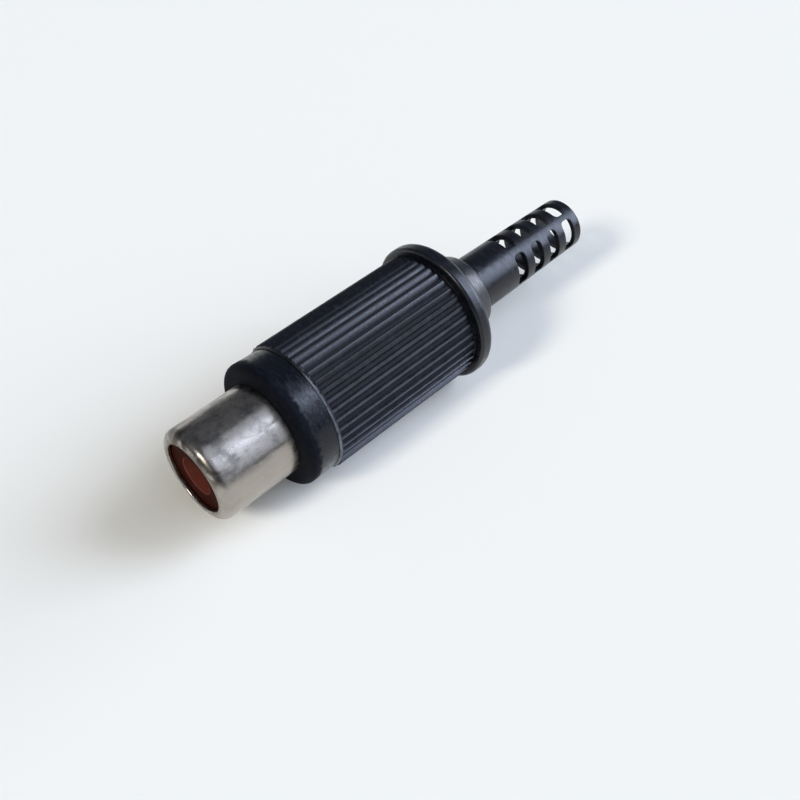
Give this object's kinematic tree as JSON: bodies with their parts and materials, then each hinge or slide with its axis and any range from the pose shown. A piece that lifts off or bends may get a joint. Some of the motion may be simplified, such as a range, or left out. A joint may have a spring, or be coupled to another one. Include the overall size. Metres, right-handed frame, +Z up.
{
  "type": "in-line phono socket connector",
  "caption": "Cable-mount phono socket: plated barrel with a red-brown insert, black collar, and a ribbed black screw-on cover that ends in a flange and a slotted bend-relief tail.",
  "frame": {"origin": "on the socket's axis at the collar's front face, where a plug's shell stops", "axes": "X along the socket's axis, mouth towards -X and cable towards +X; +Z up as the socket lies on a table"},
  "size_m": [0.0444, 0.013, 0.013],
  "materials": {
    "nickel_plate": "worn bright nickel plate",
    "insert_plastic": "moulded, semi-gloss",
    "contact_brass": "plain brass",
    "tinned_brass": "dull tin plate",
    "collar_plastic": "moulded, glossy with fine scuffs",
    "cover_plastic": "moulded, satin"
  },
  "bodies": {
    "root": {"barrel": "nickel_plate", "socket_insulator": "insert_plastic", "centre_contact": "contact_brass", "ground_tag": "tinned_brass", "collar": "collar_plastic", "cover": "cover_plastic"}
  },
  "joints": []
}
